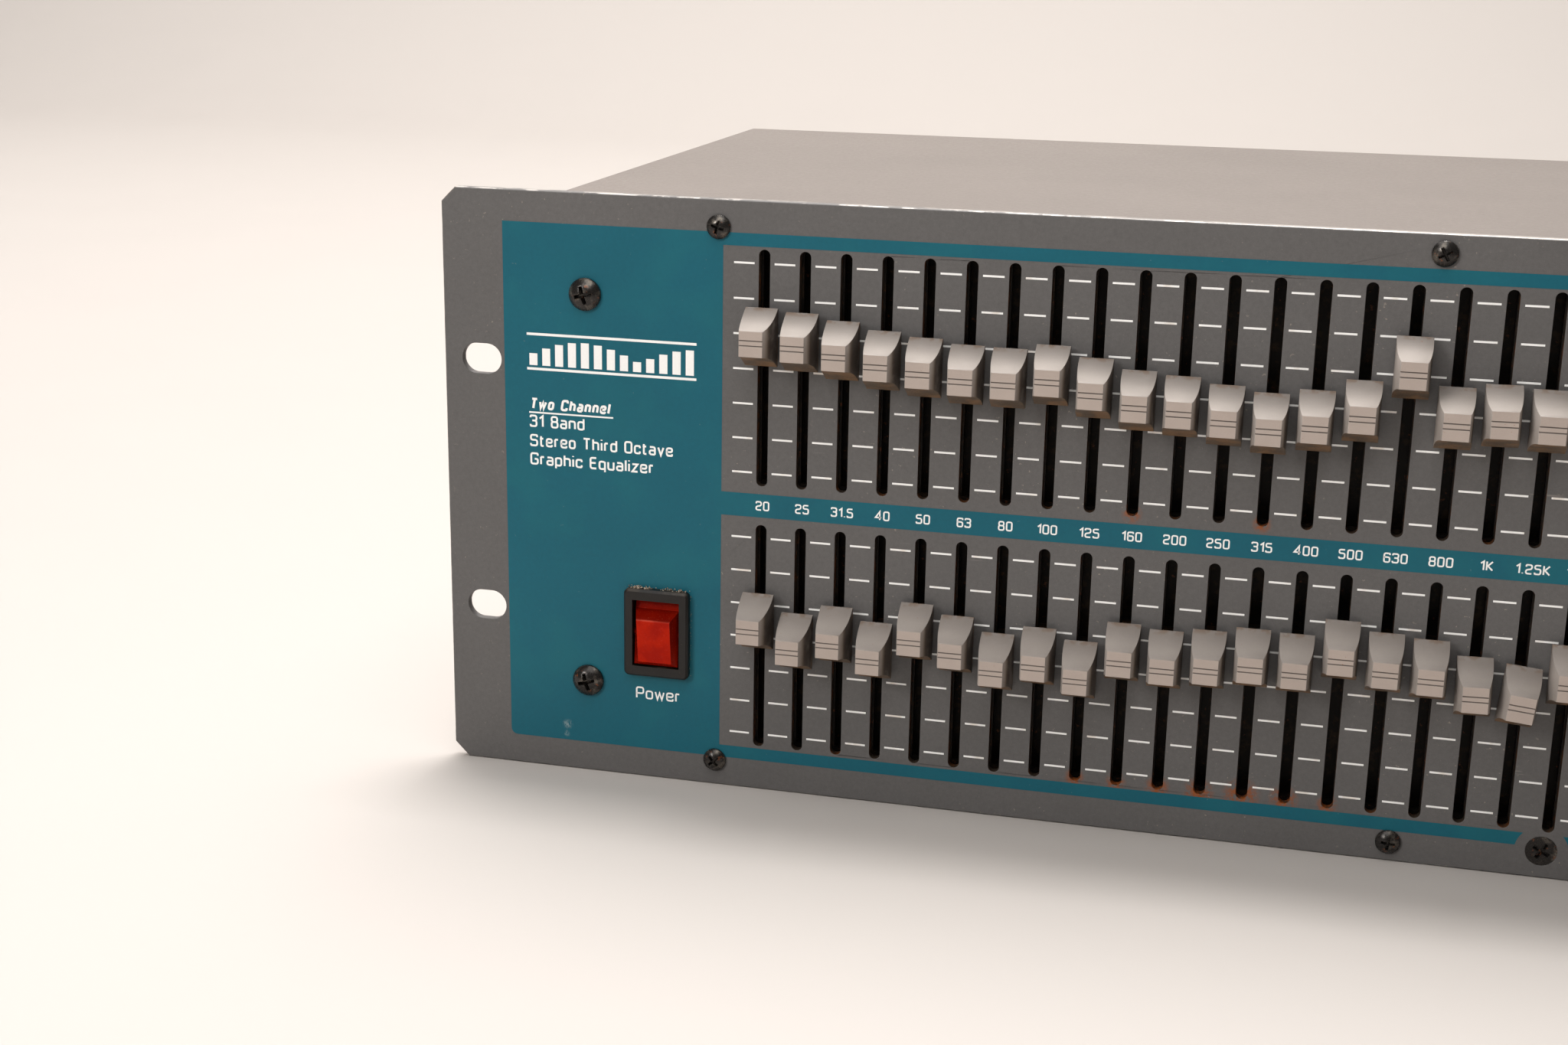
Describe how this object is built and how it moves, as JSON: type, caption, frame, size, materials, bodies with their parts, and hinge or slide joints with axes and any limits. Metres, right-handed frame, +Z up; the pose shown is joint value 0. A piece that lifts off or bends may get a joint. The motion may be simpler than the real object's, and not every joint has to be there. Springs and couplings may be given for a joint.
{
  "type": "graphic equalizer",
  "caption": "Rack-mount two-channel third-octave graphic equalizer: grey slotted panel with a teal field, rows of sliding knobs, rocker power switch and a sheet-steel case.",
  "frame": {"origin": "centre of the four rack slots, on the rear face of the front panel", "axes": "+X to the right seen from the front, +Y towards the back, +Z up"},
  "size_m": [0.4826, 0.1747, 0.1326],
  "materials": {
    "panel_paint": "satin grey enamel with a screen-printed teal field and white lettering",
    "case_paint": "satin grey enamel",
    "screw_black": "black oxide",
    "knob_plastic": "fine matte warm grey",
    "black_plastic": "moulded black",
    "rocker_red": "translucent red",
    "led_lens": "clear tinted lens",
    "board_green": "solder mask",
    "frame_steel": "plated steel",
    "transformer_iron": "varnished laminations"
  },
  "bodies": {
    "case": {"front_panel": "panel_paint", "chassis_tray": "case_paint", "top_cover": "case_paint", "pan_screws_m3": "screw_black", "pan_screws_m4": "screw_black", "countersunk_screws": "screw_black", "power_switch_housing": "black_plastic", "fader_frames": "frame_steel", "fader_board": "board_green", "control_board": "board_green", "status_leds": "led_lens", "main_board": "board_green", "power_transformer": "transformer_iron", "mains_inlet": "black_plastic", "xlr_inputs": "black_plastic", "xlr_outputs": "black_plastic"},
    "fader_ch1_20hz": {"fader_ch1_20hz": "knob_plastic"},
    "fader_ch1_25hz": {"fader_ch1_25hz": "knob_plastic"},
    "fader_ch1_31hz5": {"fader_ch1_31hz5": "knob_plastic"},
    "fader_ch1_40hz": {"fader_ch1_40hz": "knob_plastic"},
    "fader_ch1_50hz": {"fader_ch1_50hz": "knob_plastic"},
    "fader_ch1_63hz": {"fader_ch1_63hz": "knob_plastic"},
    "fader_ch1_80hz": {"fader_ch1_80hz": "knob_plastic"},
    "fader_ch1_100hz": {"fader_ch1_100hz": "knob_plastic"},
    "fader_ch1_125hz": {"fader_ch1_125hz": "knob_plastic"},
    "fader_ch1_160hz": {"fader_ch1_160hz": "knob_plastic"},
    "fader_ch1_200hz": {"fader_ch1_200hz": "knob_plastic"},
    "fader_ch1_250hz": {"fader_ch1_250hz": "knob_plastic"},
    "fader_ch1_315hz": {"fader_ch1_315hz": "knob_plastic"},
    "fader_ch1_400hz": {"fader_ch1_400hz": "knob_plastic"},
    "fader_ch1_500hz": {"fader_ch1_500hz": "knob_plastic"},
    "fader_ch1_630hz": {"fader_ch1_630hz": "knob_plastic"},
    "fader_ch1_800hz": {"fader_ch1_800hz": "knob_plastic"},
    "fader_ch1_1khz": {"fader_ch1_1khz": "knob_plastic"},
    "faders_ch1_high_bands": {"faders_ch1_high_bands": "knob_plastic"},
    "fader_ch2_20hz": {"fader_ch2_20hz": "knob_plastic"},
    "fader_ch2_25hz": {"fader_ch2_25hz": "knob_plastic"},
    "fader_ch2_31hz5": {"fader_ch2_31hz5": "knob_plastic"},
    "fader_ch2_40hz": {"fader_ch2_40hz": "knob_plastic"},
    "fader_ch2_50hz": {"fader_ch2_50hz": "knob_plastic"},
    "fader_ch2_63hz": {"fader_ch2_63hz": "knob_plastic"},
    "fader_ch2_80hz": {"fader_ch2_80hz": "knob_plastic"},
    "fader_ch2_100hz": {"fader_ch2_100hz": "knob_plastic"},
    "fader_ch2_125hz": {"fader_ch2_125hz": "knob_plastic"},
    "fader_ch2_160hz": {"fader_ch2_160hz": "knob_plastic"},
    "fader_ch2_200hz": {"fader_ch2_200hz": "knob_plastic"},
    "fader_ch2_250hz": {"fader_ch2_250hz": "knob_plastic"},
    "fader_ch2_315hz": {"fader_ch2_315hz": "knob_plastic"},
    "fader_ch2_400hz": {"fader_ch2_400hz": "knob_plastic"},
    "fader_ch2_500hz": {"fader_ch2_500hz": "knob_plastic"},
    "fader_ch2_630hz": {"fader_ch2_630hz": "knob_plastic"},
    "fader_ch2_800hz": {"fader_ch2_800hz": "knob_plastic"},
    "fader_ch2_1khz": {"fader_ch2_1khz": "knob_plastic"},
    "faders_ch2_high_bands": {"faders_ch2_high_bands": "knob_plastic"},
    "power_rocker": {"power_rocker": "rocker_red"},
    "level_knob_ch1": {"level_knob_ch1": "black_plastic"},
    "eq_in_button_ch1": {"eq_in_button_ch1": "black_plastic"},
    "level_knob_ch2": {"level_knob_ch2": "black_plastic"},
    "eq_in_button_ch2": {"eq_in_button_ch2": "black_plastic"}
  },
  "joints": [
    {"name": "fader_ch1_20hz_slide", "type": "slide", "parent": "case", "child": "fader_ch1_20hz", "axis": [0, 0, 1], "range_m": [-0.02997, 0.01503]},
    {"name": "fader_ch1_25hz_slide", "type": "slide", "parent": "case", "child": "fader_ch1_25hz", "axis": [0, 0, 1], "range_m": [-0.02936, 0.01564]},
    {"name": "fader_ch1_31hz5_slide", "type": "slide", "parent": "case", "child": "fader_ch1_31hz5", "axis": [0, 0, 1], "range_m": [-0.02814, 0.01686]},
    {"name": "fader_ch1_40hz_slide", "type": "slide", "parent": "case", "child": "fader_ch1_40hz", "axis": [0, 0, 1], "range_m": [-0.02661, 0.01839]},
    {"name": "fader_ch1_50hz_slide", "type": "slide", "parent": "case", "child": "fader_ch1_50hz", "axis": [0, 0, 1], "range_m": [-0.0257, 0.0193]},
    {"name": "fader_ch1_63hz_slide", "type": "slide", "parent": "case", "child": "fader_ch1_63hz", "axis": [0, 0, 1], "range_m": [-0.02479, 0.02021]},
    {"name": "fader_ch1_80hz_slide", "type": "slide", "parent": "case", "child": "fader_ch1_80hz", "axis": [0, 0, 1], "range_m": [-0.02463, 0.02037]},
    {"name": "fader_ch1_100hz_slide", "type": "slide", "parent": "case", "child": "fader_ch1_100hz", "axis": [0, 0, 1], "range_m": [-0.02585, 0.01915]},
    {"name": "fader_ch1_125hz_slide", "type": "slide", "parent": "case", "child": "fader_ch1_125hz", "axis": [0, 0, 1], "range_m": [-0.02372, 0.02128]},
    {"name": "fader_ch1_160hz_slide", "type": "slide", "parent": "case", "child": "fader_ch1_160hz", "axis": [0, 0, 1], "range_m": [-0.02174, 0.02326]},
    {"name": "fader_ch1_200hz_slide", "type": "slide", "parent": "case", "child": "fader_ch1_200hz", "axis": [0, 0, 1], "range_m": [-0.02113, 0.02387]},
    {"name": "fader_ch1_250hz_slide", "type": "slide", "parent": "case", "child": "fader_ch1_250hz", "axis": [0, 0, 1], "range_m": [-0.01991, 0.02509]},
    {"name": "fader_ch1_315hz_slide", "type": "slide", "parent": "case", "child": "fader_ch1_315hz", "axis": [0, 0, 1], "range_m": [-0.01884, 0.02616]},
    {"name": "fader_ch1_400hz_slide", "type": "slide", "parent": "case", "child": "fader_ch1_400hz", "axis": [0, 0, 1], "range_m": [-0.02006, 0.02494]},
    {"name": "fader_ch1_500hz_slide", "type": "slide", "parent": "case", "child": "fader_ch1_500hz", "axis": [0, 0, 1], "range_m": [-0.02265, 0.02235]},
    {"name": "fader_ch1_630hz_slide", "type": "slide", "parent": "case", "child": "fader_ch1_630hz", "axis": [0, 0, 1], "range_m": [-0.0321, 0.0129]},
    {"name": "fader_ch1_800hz_slide", "type": "slide", "parent": "case", "child": "fader_ch1_800hz", "axis": [0, 0, 1], "range_m": [-0.0225, 0.0225]},
    {"name": "fader_ch1_1khz_slide", "type": "slide", "parent": "case", "child": "fader_ch1_1khz", "axis": [0, 0, 1], "range_m": [-0.02357, 0.02143]},
    {"name": "faders_ch1_high_bands_slide", "type": "slide", "parent": "case", "child": "faders_ch1_high_bands", "axis": [0, 0, 1], "range_m": [-0.02006, 0.01823]},
    {"name": "fader_ch2_20hz_slide", "type": "slide", "parent": "case", "child": "fader_ch2_20hz", "axis": [0, 0, 1], "range_m": [-0.02692, 0.01808]},
    {"name": "fader_ch2_25hz_slide", "type": "slide", "parent": "case", "child": "fader_ch2_25hz", "axis": [0, 0, 1], "range_m": [-0.02311, 0.02189]},
    {"name": "fader_ch2_31hz5_slide", "type": "slide", "parent": "case", "child": "fader_ch2_31hz5", "axis": [0, 0, 1], "range_m": [-0.02555, 0.01945]},
    {"name": "fader_ch2_40hz_slide", "type": "slide", "parent": "case", "child": "fader_ch2_40hz", "axis": [0, 0, 1], "range_m": [-0.0228, 0.0222]},
    {"name": "fader_ch2_50hz_slide", "type": "slide", "parent": "case", "child": "fader_ch2_50hz", "axis": [0, 0, 1], "range_m": [-0.02799, 0.01701]},
    {"name": "fader_ch2_63hz_slide", "type": "slide", "parent": "case", "child": "fader_ch2_63hz", "axis": [0, 0, 1], "range_m": [-0.02601, 0.01899]},
    {"name": "fader_ch2_80hz_slide", "type": "slide", "parent": "case", "child": "fader_ch2_80hz", "axis": [0, 0, 1], "range_m": [-0.02296, 0.02204]},
    {"name": "fader_ch2_100hz_slide", "type": "slide", "parent": "case", "child": "fader_ch2_100hz", "axis": [0, 0, 1], "range_m": [-0.02509, 0.01991]},
    {"name": "fader_ch2_125hz_slide", "type": "slide", "parent": "case", "child": "fader_ch2_125hz", "axis": [0, 0, 1], "range_m": [-0.02296, 0.02204]},
    {"name": "fader_ch2_160hz_slide", "type": "slide", "parent": "case", "child": "fader_ch2_160hz", "axis": [0, 0, 1], "range_m": [-0.02783, 0.01717]},
    {"name": "fader_ch2_200hz_slide", "type": "slide", "parent": "case", "child": "fader_ch2_200hz", "axis": [0, 0, 1], "range_m": [-0.02707, 0.01793]},
    {"name": "fader_ch2_250hz_slide", "type": "slide", "parent": "case", "child": "fader_ch2_250hz", "axis": [0, 0, 1], "range_m": [-0.02799, 0.01701]},
    {"name": "fader_ch2_315hz_slide", "type": "slide", "parent": "case", "child": "fader_ch2_315hz", "axis": [0, 0, 1], "range_m": [-0.02921, 0.01579]},
    {"name": "fader_ch2_400hz_slide", "type": "slide", "parent": "case", "child": "fader_ch2_400hz", "axis": [0, 0, 1], "range_m": [-0.0289, 0.0161]},
    {"name": "fader_ch2_500hz_slide", "type": "slide", "parent": "case", "child": "fader_ch2_500hz", "axis": [0, 0, 1], "range_m": [-0.03271, 0.01229]},
    {"name": "fader_ch2_630hz_slide", "type": "slide", "parent": "case", "child": "fader_ch2_630hz", "axis": [0, 0, 1], "range_m": [-0.03088, 0.01412]},
    {"name": "fader_ch2_800hz_slide", "type": "slide", "parent": "case", "child": "fader_ch2_800hz", "axis": [0, 0, 1], "range_m": [-0.03027, 0.01473]},
    {"name": "fader_ch2_1khz_slide", "type": "slide", "parent": "case", "child": "fader_ch2_1khz", "axis": [0, 0, 1], "range_m": [-0.02753, 0.01747]},
    {"name": "faders_ch2_high_bands_slide", "type": "slide", "parent": "case", "child": "faders_ch2_high_bands", "axis": [0, 0, 1], "range_m": [-0.02402, 0.01336]},
    {"name": "power_rocker_tilt", "type": "hinge", "parent": "case", "child": "power_rocker", "pos_m": [-0.1917, -0.002, -0.03135], "axis": [-1, 0, 0], "range_deg": [-16, 0]},
    {"name": "level_knob_ch1_turn", "type": "hinge", "parent": "case", "child": "level_knob_ch1", "pos_m": [0.139, 0, 0.0302], "axis": [0, 1, 0], "range_deg": [-150, 150]},
    {"name": "eq_in_button_ch1_press", "type": "slide", "parent": "case", "child": "eq_in_button_ch1", "axis": [0, 1, 0], "range_m": [0, 0.0025], "stiffness_N_per_m": 200},
    {"name": "level_knob_ch2_turn", "type": "hinge", "parent": "case", "child": "level_knob_ch2", "pos_m": [0.139, 0, -0.0302], "axis": [0, 1, 0], "range_deg": [-150, 150]},
    {"name": "eq_in_button_ch2_press", "type": "slide", "parent": "case", "child": "eq_in_button_ch2", "axis": [0, 1, 0], "range_m": [0, 0.0025], "stiffness_N_per_m": 200}
  ]
}
